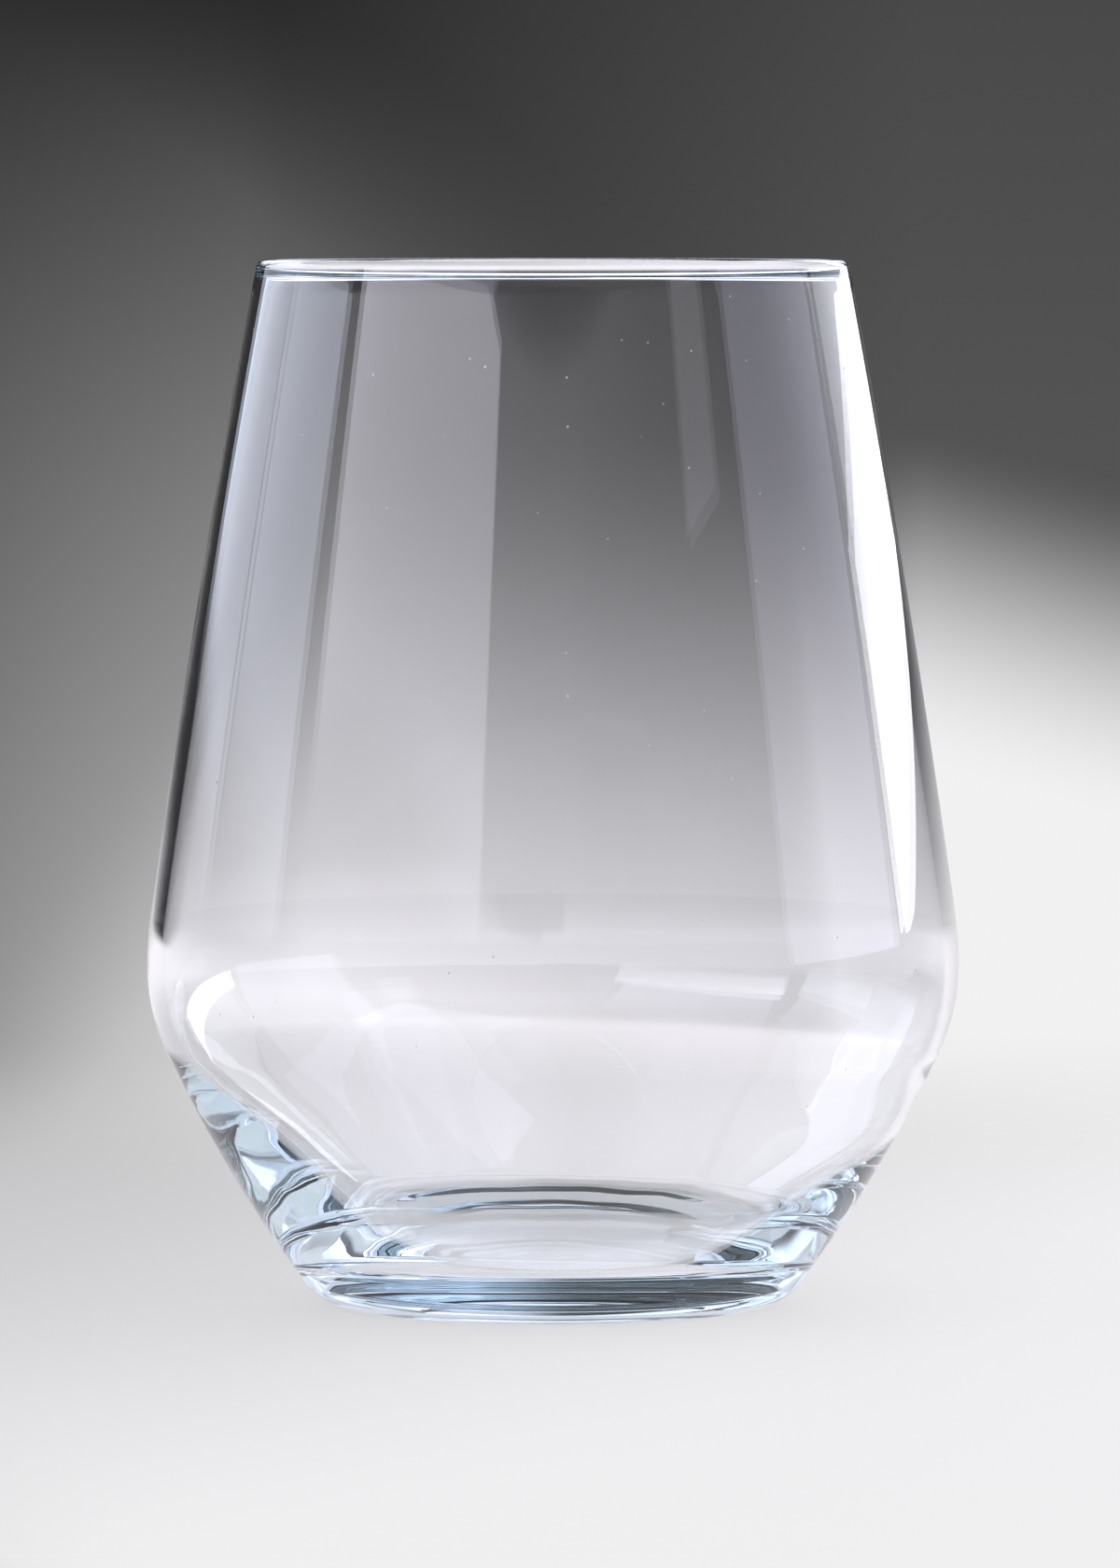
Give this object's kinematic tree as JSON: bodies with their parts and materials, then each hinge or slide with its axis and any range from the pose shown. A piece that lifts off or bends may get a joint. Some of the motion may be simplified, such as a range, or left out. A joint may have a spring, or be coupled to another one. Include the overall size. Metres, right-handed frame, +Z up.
{
  "type": "drinking tumbler",
  "caption": "Clear stemless drinking tumbler with a small heavy foot, a cone opening to a low wide shoulder, and a tall wall narrowing to a fire-polished rim.",
  "frame": {"origin": "on the table, under the centre of the foot's bearing ring", "axes": "+Z up along the axis of revolution, from the foot to the rim; X and Y are any two square directions across it"},
  "size_m": [0.087, 0.087, 0.112],
  "materials": {
    "clear_glass": "clear soda-lime glass, fire-polished"
  },
  "bodies": {
    "root": {"glass_body": "clear_glass"}
  },
  "joints": []
}
